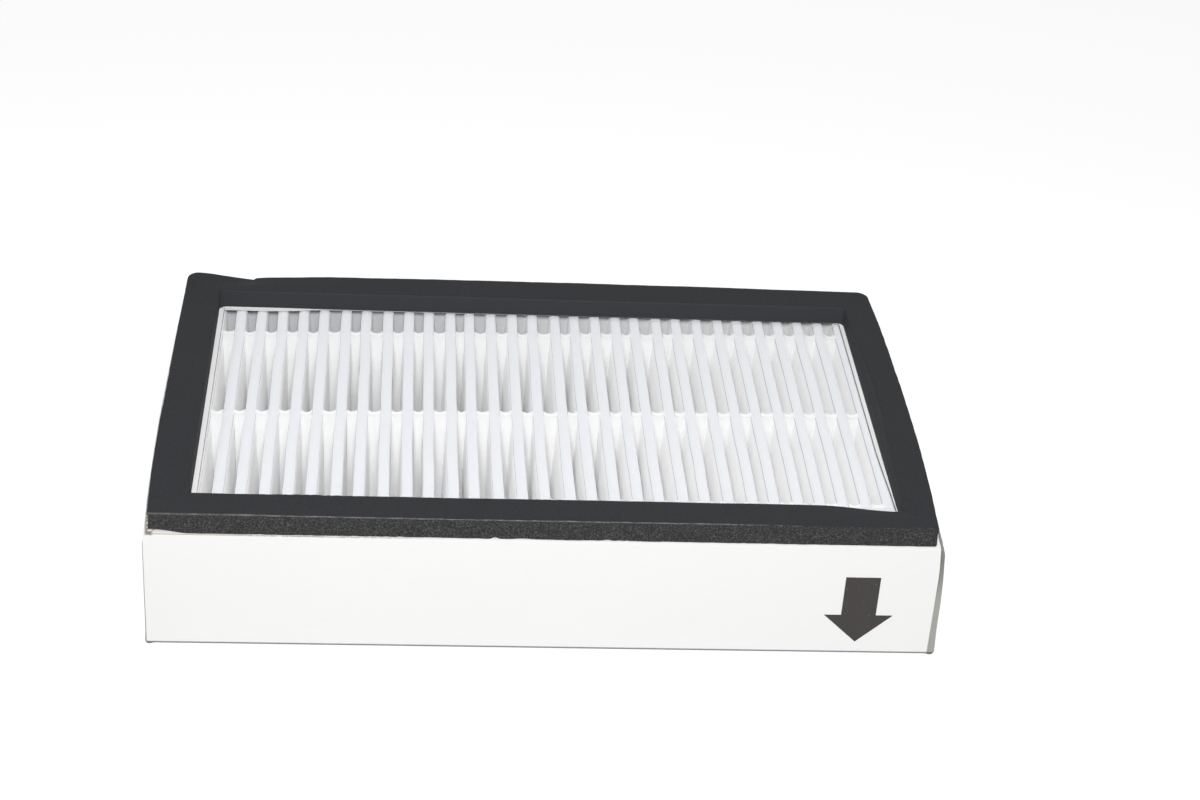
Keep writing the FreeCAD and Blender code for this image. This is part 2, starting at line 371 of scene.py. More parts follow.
def foam_material():
    """Charcoal foam with a matt skin above and open pores on the cut sides."""
    m = Material("charcoal_foam")
    x, y, z = (m.axis(letter) for letter in "XYZ")
    upward = m.facing("Z")
    outside = m.either(m.ramp(m.math("ABSOLUTE", x), *OUTER_X), m.ramp(m.math("ABSOLUTE", y), *OUTER_Y))
    steep = m.under(upward, 0.35, 0.85)
    cut = m.both(steep, outside)
    inner = m.both(steep, m.math("SUBTRACT", 1.0, outside))
    pores = m.ramp(m.noise(2300, 4, 0.85), 0.42, 0.64)
    fine = m.noise(1500, 4, 0.85)
    cloud = m.noise(60, 3, 0.6)
    bits = m.ramp(m.noise(1700, 3, 0.8), 0.64, 0.71)
    skin = m.mix(m.range(cloud, 0.0, 1.0), (0.019, 0.02, 0.023), (0.0265, 0.0275, 0.0315))
    skin = m.mix(m.range(m.ramp(fine, 0.45, 0.7), 0.0, 0.6), skin, (0.05, 0.053, 0.06))
    # painted light: the inner walls get a paler colour than the skin on top, to lighten their shade
    skin = m.mix(inner, skin, (0.045, 0.047, 0.052))
    side = m.mix(pores, (0.016, 0.016, 0.017), (0.175, 0.177, 0.175))
    body = m.mix(cut, skin, side)
    body = m.mix(m.range(m.both(cut, bits), 0.0, 0.8), body, (0.4, 0.41, 0.39))

    top = gasket_high.z
    arris = m.both(m.band(z, top - 0.1, top + 0.4, 0.04), m.under(upward, 0.75, 0.95))
    gaps = m.range(m.ramp(m.noise(300, 4, 0.7, m.stretched((1, 0, 0))), 0.4, 0.6), 0.35, 1.0)
    faint = m.range(m.ramp(x, *ARRIS_FADE_X), 0.0, 0.8)
    arris = m.both(arris, m.either(m.math("SUBTRACT", gaps, faint), 0.0), outside)
    m.colour(m.mix(m.range(arris, 0.0, 0.85), body, (0.3, 0.31, 0.31)))
    m.rough(m.range(fine, 0.7, 0.95))
    m.set(Specular_IOR_Level=0.35)
    m.bump(fine, 0.00006, 0.35)
    m.bump(m.both(pores, cut), 0.0003, 0.9)
    return m.material


def shaded_behind_far_line(m, body):
    """A colour made darker behind the far glue line, where hardly any light falls between the folds."""
    low, high = node_box("upper_spacers_far")
    slope = (high.y - low.y - BEAD_WIDTH) / (high.x - low.x)
    x, y, z = (m.axis(letter) for letter in "XYZ")
    across = m.math("SUBTRACT", y, m.math("MULTIPLY", x, slope))
    middle = (low.y + high.y) / 2
    share = m.both(m.ramp(across, middle, middle + 1.5), m.under(z, 29.5, 32.5))
    dark = m.mix(m.ramp(x, -90.0, 60.0), (0.74, 0.75, 0.765), (0.86, 0.865, 0.87))
    return m.mix(share, body, dark)


def paper_material():
    """White filter paper, soft and fibrous, with painted shade on the crowns of the folds: faintly blue on them
    and darker where they turn into the legs.
    """
    m = Material("filter_paper")
    fibre = m.noise(1300, 5, 0.65, m.stretched((1, 0.35, 1)))
    cloud = m.noise(90, 3)
    height = m.axis("Z")
    deep = m.mix(m.range(cloud, 0.0, 0.7), (0.98, 0.98, 0.98), (0.97, 0.972, 0.975))
    deep = shaded_behind_far_line(m, deep)
    # painted shade: the crowns get a greyer, bluer colour than the deep paper, and a darker band where they turn
    # down into the legs
    crown_shade = m.mix(m.range(cloud, 0.0, 1.0), (0.84, 0.86, 0.892), (0.875, 0.89, 0.915))
    shoulder_shade = m.band(height, CROWN_Z - 0.05, CROWN_Z + 0.4, 0.15)
    crown_shade = m.mix(m.range(shoulder_shade, 0.0, 0.9), crown_shade, (0.36, 0.38, 0.43))
    body = m.mix(m.ramp(height, 30.8, 31.5), deep, crown_shade)
    m.colour(m.mix(m.range(m.ramp(fibre, 0.5, 0.72), 0.0, 0.3), body, (0.78, 0.79, 0.8)))
    m.rough(m.range(fibre, 0.8, 0.97))
    m.set(Specular_IOR_Level=0.15, Diffuse_Roughness=1.0, Sheen_Weight=0.6, Sheen_Roughness=0.5)
    m.bump(fibre, 0.00005, 0.6)
    return m.material


def glue_material():
    """White hot melt glue, waxy and slightly glossy, with painted shade as a blue-grey tint on its upper part.
    """
    m = Material("hot_melt")
    lumps = m.noise(420, 3, 0.5)
    deep = m.mix(m.range(lumps, 0.0, 1.0), (0.95, 0.952, 0.955), (0.965, 0.965, 0.965))
    deep = shaded_behind_far_line(m, deep)
    # painted shade: the glue's upper part takes the same blue-grey as the paper's crowns
    m.colour(m.mix(m.ramp(m.axis("Z"), 31.8, 32.6), deep, (0.85, 0.865, 0.892)))
    m.rough(m.range(lumps, 0.32, 0.5))
    m.set(Specular_IOR_Level=0.4, Diffuse_Roughness=1.0)
    m.bump(lumps, 0.0001, 0.4)
    return m.material


def ink_material():
    """Flat dark ink, a little mottled where it sits on the board's fibre."""
    m = Material("printing_ink")
    mottle = m.noise(800, 4, 0.7)
    specks = m.ramp(m.noise(1900, 2, 0.5), 0.7, 0.74)
    dark = m.mix(m.range(mottle, 0.0, 1.0), (0.037, 0.032, 0.032), (0.055, 0.048, 0.048))
    m.colour(m.mix(m.range(specks, 0.0, 0.3), dark, (0.5, 0.5, 0.49)))
    m.rough(m.range(mottle, 0.45, 0.7))
    m.set(Specular_IOR_Level=0.3)
    m.bump(mottle, 0.00002, 0.5)
    return m.material


# Pleated paper

CROWN_COUNT = round((sheet_high.x - sheet_low.x - 2 * CROWN_RADIUS) / FOLD_PITCH) + 1
FIRST_CROWN = -(CROWN_COUNT - 1) * FOLD_PITCH / 2
LAST_STEP = 2 * (CROWN_COUNT - 1)
FOLD_STEPS = 8
LEG_STEPS = 5
STATIONS = 42
SWAY = 0.25              # how far a fold strays from a straight line
LONG_SWAY = 26.0         # and over what length
SHORT_SWAY = 11.0
CROWN_LIFT = 0.1         # how far a crown stands above or below the others
BULGE = 0.16             # how far a leg bellies out between its folds


def fold_x(step, y):
    """X of one fold at a place along it: even steps are crowns, odd ones troughs."""
    fade = math.sin(math.pi * step / LAST_STEP)
    waves = sum(share * math.sin(turn * step + start) for turn, start, share in FOLD_WAVES)
    straight = FIRST_CROWN + step * FOLD_PITCH / 2 + FOLD_DRIFT * fade * waves
    stray = grain(step * 0.9 + 3.1, y, 0.0, LONG_SWAY) + 0.5 * grain(step * 7.7, y, 5.0, SHORT_SWAY)
    return straight + SWAY * min(1.0, 4 * fade) * stray


def crown_lift(step, y):
    """How far a crown stands above or below the others."""
    return CROWN_LIFT * grain(step * 3.3, y, 20.0, 18.0)


def leg_lean(crown, trough):
    """Angle above the level of the normal on the leg between two folds."""
    run = abs(trough[0] - crown[0])
    drop = crown[1] - trough[1]
    return math.acos(2 * FOLD_RADIUS / math.hypot(run, drop)) - math.atan2(drop, run)


def folds_at(y):
    """Centre of every fold and the lean of every leg in the section at y."""
    centres = []
    for step in range(LAST_STEP + 1):
        z = TROUGH_Z if step % 2 else CROWN_Z + crown_lift(step, y)
        centres.append((fold_x(step, y), z))
    leans = [0.0]
    for step in range(LAST_STEP):
        pair = (centres[step], centres[step + 1])
        crown, trough = pair if step % 2 == 0 else pair[::-1]
        leans.append(leg_lean(crown, trough))
    leans.append(0.0)
    return centres, leans


def leg_points(start, end, index, y):
    """Points down or up one leg, bellied a little."""
    points = []
    for step in range(1, LEG_STEPS):
        share = step / LEG_STEPS
        belly = BULGE * math.sin(math.pi * share) * 2 * grain(index * 5.1, y, share * 14, 16.0)
        x = start[0] + (end[0] - start[0]) * share + belly
        points.append((x, start[1] + (end[1] - start[1]) * share))
    return points


def sheet_section(y, offset):
    """The pleated line in the section at y, offset upwards from the sheet's middle."""
    centres, leans = folds_at(y)
    bend = []
    for step, (x, z) in enumerate(centres):
        if step % 2 == 0:
            radius = FOLD_RADIUS + offset
            start, end = math.pi - leans[step], leans[step + 1]
        else:
            radius = FOLD_RADIUS - offset
            start, end = math.pi + leans[step], 2 * math.pi - leans[step + 1]
        turns = [start + (end - start) * k / FOLD_STEPS for k in range(FOLD_STEPS + 1)]
        bend.append([(x + radius * math.cos(turn), z + radius * math.sin(turn)) for turn in turns])
    first, last = bend[0][0], bend[-1][-1]
    first_foot, last_foot = (first[0], sheet_low.z), (last[0], sheet_low.z)
    line = [first_foot] + leg_points(first_foot, first, -1, y)
    for step, points in enumerate(bend):
        line += points
        if step < LAST_STEP:
            line += leg_points(points[-1], bend[step + 1][0], step, y)
    return line + leg_points(last, last_foot, LAST_STEP + 1, y) + [last_foot]


def make_sheet(material):
    """The one folded sheet, with each fold straying a little along its length."""
    rings = []
    for station in range(STATIONS):
        y = sheet_low.y + (sheet_high.y - sheet_low.y) * station / (STATIONS - 1)
        upper = sheet_section(y, PAPER / 2)
        lower = sheet_section(y, -PAPER / 2)
        rings.append([(x, y, z) for x, z in upper] + [(x, y, z) for x, z in lower[::-1]])
    points, faces = loft(rings, caps=False)
    count = len(rings[0])
    half = count // 2
    for base, flip in ((0, True), (len(points) - count, False)):
        for step in range(half - 1):
            quad = (base + step, base + step + 1, base + count - 2 - step, base + count - 1 - step)
            faces.append(quad[::-1] if flip else quad)
    piece = make_mesh("pleated_paper", points, faces, material, "filter_paper", sharp_angle=60)
    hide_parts("pleated_sheet")
    return piece


# Glue spacers

GLUE_ACROSS = 6
GLUE_DOWN = 9
RIM_DIP = 0.45           # how far a spacer's rim hangs between its two legs
RIM_WOBBLE = 0.25        # how much one rim stands above the next
WAIST = 0.72             # a spacer's thickness in its middle, as a share of the bead's
WETTING = 0.4            # what is added to that share at the legs
LIP = 0.35               # and at the rim
SMEAR_STEPS = 10
SMEAR_START = 0.5        # angle from the leg at which a smear begins
SMEAR_SECTION = ((-1, -0.05), (-0.8, 0.015), (-0.3, 0.04), (0.3, 0.04), (0.8, 0.015), (1, -0.05))

# The film of glue at the right front, from left to right and from back to front
FILM_LEFT = 60.0
FILM_RIGHT = 89.6
FILM_BACK = -43.6
FILM_DEPTH = 6.2
FILM_STEPS = 24


def leg_surface(crown, trough, side, offset, z):
    """X of a leg's surface at a height, on the crown's left (-1) or right (1)."""
    lean = leg_lean(crown, trough)
    reach = FOLD_RADIUS + offset - (z - crown[1]) * math.sin(lean)
    return crown[0] + side * reach / math.cos(lean)


def glue_slug(left, right, y, turn, rim, foot, seed):
    """One spacer in a pleat: a thin wall of glue, thicker where it wets the two legs."""
    direction = 1 if rim > foot else -1
    dip = RIM_DIP + 0.3 * grain(seed * 3.7, y, 1.0, 2.0)
    sides = []
    for face in (-1, 1):
        for down in range(GLUE_DOWN + 1):
            share = down / GLUE_DOWN
            row = []
            for across in range(GLUE_ACROSS + 1):
                span = 2 * across / GLUE_ACROSS - 1
                top = rim - direction * dip * (1 - span * span)
                z = top + (foot - top) * share
                x0, x1 = left(z), right(z)
                x = (x0 + x1) / 2 + (x1 - x0) / 2 * span
                rough = 0.12 * grain(seed * 9.1 + x, z, face, 2.2)
                thick = BEAD_WIDTH / 2 * (WAIST + WETTING * span * span + rough)
                lip = 1 + LIP * math.exp(-share * 9)
                row.append((x, y + math.tan(turn) * x + face * thick * lip, z))
            sides.append(row)
    rows = GLUE_DOWN + 1
    front, back = sides[:rows], sides[rows:]
    ring_rows = [front_row + back_row[::-1] for front_row, back_row in zip(front, back)]
    return loft(ring_rows)


def crown_smear(centre, lean_left, lean_right, y, turn, outward, seed):
    """The thin film of glue that a line leaves over the crown of a fold."""
    rings = []
    start, end = math.pi - lean_left + SMEAR_START, lean_right - SMEAR_START
    for step in range(SMEAR_STEPS + 1):
        angle = start + (end - start) * step / SMEAR_STEPS
        ring = []
        wide = BEAD_WIDTH * (0.4 + 0.2 * grain(seed * 5.3, step * 0.7, 2.0, 1.0))
        for across, height in SMEAR_SECTION:
            radius = CROWN_RADIUS + height * (0.7 + 0.6 * grain(seed * 2.1, step * 0.5, 4.0, 1.0))
            x = centre[0] + radius * math.cos(angle)
            z = centre[1] + outward * radius * math.sin(angle)
            ring.append((x, y + math.tan(turn) * x + wide * across, z))
        rings.append(ring)
    return loft(rings)


def glue_film():
    """The smooth film that runs from the near line to the board at the right front."""
    rings = []
    for step in range(FILM_STEPS + 1):
        x = FILM_LEFT + (FILM_RIGHT - FILM_LEFT) * step / FILM_STEPS
        back = FILM_BACK + 0.15 * grain(x, 1.0, 3.0, 4.0)
        front = back - FILM_DEPTH * smooth_step(FILM_LEFT, FILM_LEFT + 18.0, x)
        top = sheet_high.z + 0.08 + 0.25 * smooth_step(FILM_LEFT, FILM_LEFT + 6.0, x)
        foot = top - 0.7
        rings.append([(x, front - 0.4, foot), (x, back + 0.3, foot), (x, back + 0.1, top - 0.15),
                      (x, back - 0.2, top), (x, front, top - 0.05)])
    return loft(rings)


def join(shapes):
    """One list of points and faces from several."""
    points, faces = [], []
    for more_points, more_faces in shapes:
        base = len(points)
        points += more_points
        faces += [tuple(index + base for index in face) for face in more_faces]
    return points, faces


def glue_line(name, node, line_y, turn, upper, material):
    """All spacers of one line across the pack, with the smears between them."""
    shapes = []
    rim_z = sheet_high.z - BEAD_SAG if upper else sheet_low.z + BEAD_SAG
    foot_z = TROUGH_Z - HOLLOW_RADIUS + BEAD_FLOOR if upper else CROWN_Z + HOLLOW_RADIUS - BEAD_FLOOR
    for step in range(LAST_STEP + 1):
        place = line_y + math.tan(turn) * (FIRST_CROWN + step * FOLD_PITCH / 2)
        centres, leans = folds_at(place)
        is_trough = step % 2 == 1
        here = centres[step]
        if upper == is_trough:
            offset = PAPER / 2 if upper else -PAPER / 2
            walls = []
            for side in (-1, 1):
                neighbour = step + side
                if 0 <= neighbour <= LAST_STEP:
                    pair = (centres[neighbour], here) if is_trough else (here, centres[neighbour])
                    facing = -side if is_trough else side
                    walls.append(lambda z, p=pair, s=facing, o=offset: leg_surface(p[0], p[1], s, o, z))
                else:
                    walls.append(lambda z, s=side, x=here[0]: x + s * HOLLOW_RADIUS)
            rim = rim_z + RIM_WOBBLE * grain(step * 4.9, line_y, 8.0, 3.0)
            shapes.append(glue_slug(walls[0], walls[1], line_y, turn, rim, foot_z, step))
        elif 0 < step < LAST_STEP:
            outward = 1 if upper else -1
            shapes.append(crown_smear(here, leans[step], leans[step + 1], line_y, turn, outward, step))
    if name == "upper_glue_near":
        shapes.append(glue_film())
    piece = make_mesh(name, *join(shapes), material, "hot_melt")
    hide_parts(node)
    return piece


def make_glue(material):
    for side in ("upper", "lower"):
        for line in ("near", "middle", "far"):
            node = side + "_spacers_" + line
            low, high = node_box(node)
            span = high.x - low.x
            turn = math.atan2(high.y - low.y - BEAD_WIDTH, span)
            glue_line(side + "_glue_" + line, node, (low.y + high.y) / 2, turn, side == "upper", material)


# Gasket

GASKET_RIGHT = gasket_high.x - SIDE_BOW
GASKET_FRONT = gasket_low.y
GASKET_BACK = gasket_high.y - BACK_BOW
ALONG_LONG = 300
ALONG_SHORT = 110
CORNER_STEPS = 6


def rounded_loop(x1, y0, y1, front_radius, back_radius):
    """Points round a rectangle with rounded corners, from its front left corner."""
    points = []
    corners = (
        (-x1, y0, front_radius, math.pi),
        (x1, y0, front_radius, 1.5 * math.pi),
        (x1, y1, back_radius, 0.0),
        (-x1, y1, back_radius, 0.5 * math.pi),
    )
    for index, (x, y, radius, start) in enumerate(corners):
        centre = Vector((x - math.copysign(radius, x), y + (radius if y == y0 else -radius)))
        for step in range(CORNER_STEPS + 1):
            angle = start + math.pi / 2 * step / CORNER_STEPS
            points.append(centre + radius * Vector((math.cos(angle), math.sin(angle))))
        after = corners[(index + 1) % 4]
        along = ALONG_LONG if index % 2 == 0 else ALONG_SHORT
        end_centre = Vector((after[0] - math.copysign(after[2], after[0]),
                             after[1] + (after[2] if after[1] == y0 else -after[2])))
        end = end_centre + after[2] * Vector((math.cos(after[3]), math.sin(after[3])))
        start_point = points[-1]
        points += [start_point.lerp(end, step / along) for step in range(1, along)]
    return points


def piecewise(value, stops):
    """A value read from straight lines between stops."""
    if value <= stops[0][0]:
        return stops[0][1]
    for (x0, y0), (x1, y1) in zip(stops, stops[1:]):
        if value <= x1:
            return y0 + (y1 - y0) * (value - x0) / (x1 - x0)
    return stops[-1][1]


# How far the foam's sides stray outwards, from front to back
LEFT_STRAY = ((-62.2, 0.35), (-57.0, 0.6), (-50.0, 0.6), (-40.0, 0.65), (-28.0, 0.5), (-16.0, 0.35), (-5.0, 0.1),
              (5.0, 0.0))
RIGHT_STRAY = ((-62.2, -0.45), (-55.0, -0.3), (-46.0, 0.0), (-33.0, 0.15), (-20.0, 0.28), (-8.0, 0.25),
               (4.0, 0.15), (16.0, 0.0), (30.0, -0.05), (44.0, -0.25), (56.0, -0.65), (62.0, -0.7))
FLARE = 0.35             # how far its sides open towards the back
HOLE_SHIFT = 0.45        # how far the hole lies to the right
HOLE_SKEW = 0.35         # how far its back edge runs askew at each end

# Along its front's lower edge: how far it is lifted at its ends, and its nicks as place, width and height
LIFTED_LEFT = 1.25
LIFTED_RIGHT = 0.45
NICKS = ((-13.5, 0.7, 0.6), (-6.5, 2.2, 0.25), (14.5, 1.0, 0.3))

# How far the foam is pressed down along its back edge, from left to right
BACK_DIP = ((-97.0, 0.0), (-92.0, 0.15), (-88.0, 0.45), (-84.0, 0.9), (-80.7, 1.35), (-80.0, 0.75),
            (-76.0, 0.5), (-70.0, 0.3), (-62.0, 0.05), (-55.0, 0.0))
FRONT_RISE = 0.32        # how far its front edge stands up
CORNER_RISE = 0.75       # and its back left corner
CORNER_DENT = 0.55       # the dent beside that corner
LIP_DROOP = 0.9          # how far its inner edge hangs at the right front


def bow_out(point):
    """The outline's bulge on its short sides and its back, and its slightly narrower front."""
    half_depth = (GASKET_BACK - GASKET_FRONT) / 2
    middle = (GASKET_BACK + GASKET_FRONT) / 2
    across = point.x / GASKET_RIGHT
    along = (point.y - middle) / half_depth
    widen = (SIDE_BOW + 0.1) * (1 - along * along) - 0.05 + FLARE * along
    widen += piecewise(point.y, LEFT_STRAY if across < 0 else RIGHT_STRAY)
    x = point.x + across * widen
    y = point.y + max(0.0, along) ** 2 * BACK_BOW * (1 - across * across)
    return Vector((x, y))


def settle(point):
    """The hole as it was stuck on: a little to the right, its back edge not quite square."""
    back_share = smooth_step(0.0, GASKET_BACK - BACK_WIDTH, point.y)
    ragged = 0.0
    if point.y < -40.0:
        ragged = 0.3 * grain(point.x, 3.0, 41.0, 1.1) * bump_at(point.x, -60.0, 13.0)
    askew = back_share * (0.1 - HOLE_SKEW * point.x / GASKET_RIGHT)
    return Vector((point.x + HOLE_SHIFT, point.y + ragged + askew))


def base_height(x, y):
    """Height of the foam's lower edge, lifted at its front left end and ragged along the front."""
    if y > GASKET_FRONT + 4.0:
        return gasket_low.z
    lift = LIFTED_LEFT * (1 - smooth_step(-98.0, -89.0, x)) + LIFTED_RIGHT * smooth_step(97.7, 98.6, x)
    torn = 0.3 * max(0.0, grain(x, 0.0, 31.0, 1.6)) * bump_at(x, -48.0, 24.0)
    nicks = sum(height * bump_at(x, place, width) for place, width, height in NICKS)
    nicks += 0.4 * max(0.0, grain(x, 5.0, 12.0, 1.3)) * bump_at(x, 20.0, 10.0)
    rough_stretch = smooth_step(10.0, 16.0, x) * (1 - smooth_step(50.0, 60.0, x))
    nicks += 0.15 * max(0.0, grain(x, 9.0, 2.0, 0.8)) * rough_stretch
    return gasket_low.z + lift + torn + nicks


def top_height(x, y, share):
    """Height of the foam's upper face, with its dent, droop and creases."""
    z = gasket_high.z - 0.12 + 0.12 * grain(x, y, 3.0, 17.0)
    rise = FRONT_RISE + 0.4 * (1 - smooth_step(-92.0, -60.0, x)) - 0.2 * smooth_step(40.0, 80.0, x)
    z += rise * bump_at(y, -62.2, 5.0)
    z += CORNER_RISE * bump_at(x, -96.5, 7.0) * bump_at(y, 60.0, 8.0)
    z -= piecewise(x, BACK_DIP) * smooth_step(56.0, 60.5, y)
    z -= CORNER_DENT * bump_at(x, -88.0, 9.0) * bump_at(y, 58.5, 4.5) * smooth_step(0.1, 0.5, share)
    z -= LIP_DROOP * smooth_step(66.0, 88.0, x) * smooth_step(0.35, 1.0, share) * bump_at(y, -53.0, 4.5)
    return z


WALL_STEPS = 8
TOP_STEPS = 10
TOP_EDGE = 0.3           # width of the worn edge between the top and a wall
TOP_EDGE_DROP = 0.25
WALL_ROLL = 1.5          # how far the right inner wall leans in, at its middle and at its front end
WALL_CREASE = 0.55
WALL_HOLLOW = 0.2        # how far an outer wall is drawn in between its edges


def wall_lean(outer, inner, share, height):
    """A wall's place across the foam at this height, from 0 at its foot to 1 at its top."""
    width = (inner - outer).length
    flat = outer.lerp(inner, share)
    if share > 0.5:
        roll = WALL_ROLL * bump_at(flat.y, 2.0, 30.0) * smooth_step(80.0, 89.0, flat.x)
        droop = WALL_ROLL * smooth_step(70.0, 89.0, flat.x) * bump_at(flat.y, -53.0, 3.0)
        crease = bump_at(height, 0.5, 0.16) * bump_at(flat.y, -18.0, 26.0) * smooth_step(80.0, 89.0, flat.x)
        return share - ((roll + droop) * height - WALL_CREASE * crease) / width
    hollow = WALL_HOLLOW * math.sin(math.pi * height) + 0.12 * grain(flat.x, flat.y, height * 9, 3.0)
    return share + hollow / width


def gasket_ring(outer, inner):
    """One section of the foam, up its outer wall, over its top and down its inner wall."""
    base = base_height(outer.x, outer.y)
    edge = TOP_EDGE / (inner - outer).length
    ring = []

    def add(share, z):
        flat = outer.lerp(inner, share)
        ring.append((flat.x, flat.y, z))

    outer_top = top_height(outer.x, outer.y, 0.0)
    for step in range(WALL_STEPS + 1):
        height = step / WALL_STEPS
        add(wall_lean(outer, inner, 0.0, height), base + (outer_top - TOP_EDGE_DROP - base) * height)
    add(wall_lean(outer, inner, 0.0, 1.0) + edge * 0.35, outer_top - 0.07)
    inner_edge = wall_lean(outer, inner, 1.0, 1.0)
    for step in range(TOP_STEPS + 1):
        share = edge + (1 - 2 * edge) * step / TOP_STEPS
        shifted = share + (inner_edge - 1.0) * smooth_step(0.3, 1.0, share)
        flat = outer.lerp(inner, share)
        add(shifted, top_height(flat.x, flat.y, share))
    inner_top = top_height(inner.x, inner.y, 1.0)
    add(inner_edge - edge * 0.35, inner_top - 0.07)
    foot = gasket_low.z
    for step in range(WALL_STEPS + 1):
        height = 1 - step / WALL_STEPS
        add(wall_lean(outer, inner, 1.0, height), foot + (inner_top - TOP_EDGE_DROP - foot) * height)
    add(0.5, foot)
    return ring


def make_gasket(material):
    """The die-cut foam ring, with a pressed corner, a drooping lip and worn edges."""
    outer_loop = rounded_loop(GASKET_RIGHT, GASKET_FRONT, GASKET_BACK, FRONT_RADIUS, BACK_RADIUS)
    inner_loop = rounded_loop(GASKET_RIGHT - SIDE_WIDTH, GASKET_FRONT + FRONT_WIDTH, GASKET_BACK - BACK_WIDTH,
                              HOLE_FRONT_RADIUS, HOLE_BACK_RADIUS)
    rings = [gasket_ring(bow_out(outer), settle(inner)) for outer, inner in zip(outer_loop, inner_loop)]
    points, faces = loft(rings, closed_path=True)
    piece = make_mesh("foam_gasket", points, faces, material, "foam", sharp_angle=60)
    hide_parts("gasket")
    return piece


# Paperboard frame

CUT_STEP = 4.0            # between the cuts that let the flat walls bend
TOP_CUTS = (29.5, 30.5, 31.5, 32.3, 33.0, 33.5)
CORNER_CUTS = (94.0, 97.0, 98.3, 99.0, 99.8, 100.2)
FRONT_CUTS = (0.15, 0.5, 0.9, 1.5, 2.5, 4.0)     # from the front


def cut_across(mesh, axis, places):
    """Cuts all faces at these places along an axis, in millimetres."""
    direction = Vector([1.0 if axis == k else 0.0 for k in range(3)])
    for place in places:
        everything = mesh.verts[:] + mesh.edges[:] + mesh.faces[:]
        bmesh.ops.bisect_plane(mesh, geom=everything, dist=1e-7, plane_co=direction * place * MM,
                               plane_no=direction)


def steps(low, high, step):
    """Even places between two ends, about a step apart."""
    count = round((high - low) / step)
    return [low + (high - low) * k / count for k in range(1, count)]


# By height: the share of the upper edges' shift that each part takes, and how far the right front end
# has sprung out
DRAWN_IN = ((30.5, 0.0), (31.5, 0.1), (32.5, 0.35), (33.3, 0.7), (34.0, 1.0))
SPRUNG_OUT = ((2.0, 1.15), (5.0, 1.0), (9.0, 0.8), (15.0, 0.8), (18.0, 0.7), (22.5, 0.53), (25.0, 0.38),
              (27.5, 0.14), (30.0, -0.05), (32.5, -0.1), (34.0, 0.05))
# How far its upper edges stand inside (+), from front to back
LEFT_IN = ((-62.6, 1.3), (-60.0, 1.05), (-57.0, 0.7), (-52.0, 0.6), (-48.0, 0.3), (-39.0, 0.2), (-10.0, 0.05),
           (20.0, 0.3), (60.0, 0.1))
RIGHT_IN = ((-62.6, 0.85), (-58.0, 0.45), (-50.0, 0.48), (-41.0, 0.35), (-31.0, -0.1), (-17.0, -0.45),
            (0.0, -0.7), (48.0, -0.7), (62.0, -0.4))
LEFT_SHIFT = 0.3         # how far the left wall stands inside below its upper edge
WINDOW_SHIFT = 0.55      # how far the window's short edges lie to the right
WINDOW_TAPER = 0.9       # and the right one more at its front end
WINDOW_BACK = 1.5        # how far the window's back edge lies back, but for its left end
FOOT_OUT = 0.35          # how far the left front foot stands out
FOOT_HEIGHT = 2.0
CORNER_BEND = 6.0        # from the front, the stretch over which a corner is drawn flat
CORNER_CREASE = 1.3      # and the part of it that bends most
CREASE_SLOPE = 0.3


def bend_board(point):
    """Where a point of the true board lies once the thin box has given way."""
    x, y, z = point
    behind = y - board_low.y
    side = math.copysign(1, x)
    reach = smooth_step(88.0, 99.0, abs(x))
    near = 1 - smooth_step(4.0, 45.0, behind)
    drawn_in = piecewise(z, DRAWN_IN)
    shift = -side * reach * drawn_in * piecewise(y, RIGHT_IN if side > 0 else LEFT_IN)
    if side > 0:
        shift += reach * piecewise(z, SPRUNG_OUT) * near
    else:
        shift += LEFT_SHIFT * reach * (1 - drawn_in)
        if z < FOOT_HEIGHT:
            shift -= FOOT_OUT * reach * (1 - z / FOOT_HEIGHT) * near
    at_window = smooth_step(31.8, 32.8, z) * (1 - smooth_step(89.6, 93.0, abs(x)))
    taper = WINDOW_TAPER * (1 - smooth_step(-48.0, -15.0, y)) if side > 0 else 0.0
    shift += (WINDOW_SHIFT + taper) * at_window * smooth_step(85.0, 89.0, abs(x))
    if z > 33.0 and abs(x) < 92.0:
        in_window = 1 - smooth_step(87.0, 90.0, abs(x))
        at_back = smooth_step(49.0, 51.0, y) * (1 - smooth_step(52.0, 57.0, y))
        y += WINDOW_BACK * smooth_step(-76.0, -57.0, x) * in_window * at_back
    if behind < CORNER_BEND:
        corner = smooth_step(98.3, 99.6, abs(x))
        creased = CORNER_CREASE * CREASE_SLOPE
        if behind < CORNER_CREASE:
            flat = behind * CREASE_SLOPE
        else:
            flat = creased + (behind - CORNER_CREASE) * (CORNER_BEND - creased) / (CORNER_BEND - CORNER_CREASE)
        y += (flat - behind) * corner * (1 - smooth_step(31.5, 33.2, z))
    return Vector((x + shift, y, z))


def make_board(material):
    """The folded frame, with its top edges drawn in and its right front end sprung out."""
    mesh = bmesh.new()
    mesh.from_mesh(frame["nodes"]["frame"].data)
    bmesh.ops.remove_doubles(mesh, verts=mesh.verts, dist=1e-6)
    corners = [side * cut for cut in CORNER_CUTS for side in (-1, 1)]
    cut_across(mesh, 0, steps(-100.0, 100.0, CUT_STEP) + corners)
    front = [board_low.y + cut for cut in FRONT_CUTS]
    cut_across(mesh, 1, steps(board_low.y, board_high.y, CUT_STEP) + front)
    cut_across(mesh, 2, steps(0.0, 32.0, CUT_STEP) + list(TOP_CUTS))
    for vertex in mesh.verts:
        vertex.co = bend_board(vertex.co / MM) * MM
    data = bpy.data.meshes.new("folded_board")
    mesh.to_mesh(data)
    mesh.free()
    piece = finish_piece("folded_board", data, material, 30)
    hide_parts("frame")
    return piece


# Floor, lights and camera

FLOOR_HALF = 4.0          # metres
FLOOR_COLOUR = 0.7
FLOOR_GLOW = 0.62         # added where the floor is seen directly, so that it is white
WORLD_LEVEL = 0.3
KEY_PLACE = (-0.042, -0.5655, 0.46)
KEY_AIM = (0.01, 0.0, 0.02)
KEY_SIZE = 0.11
KEY_WATTS = 3.1
FILL_HEIGHT = 80
FILL_SOFTNESS = 30
FILL_STRENGTH = 0.4


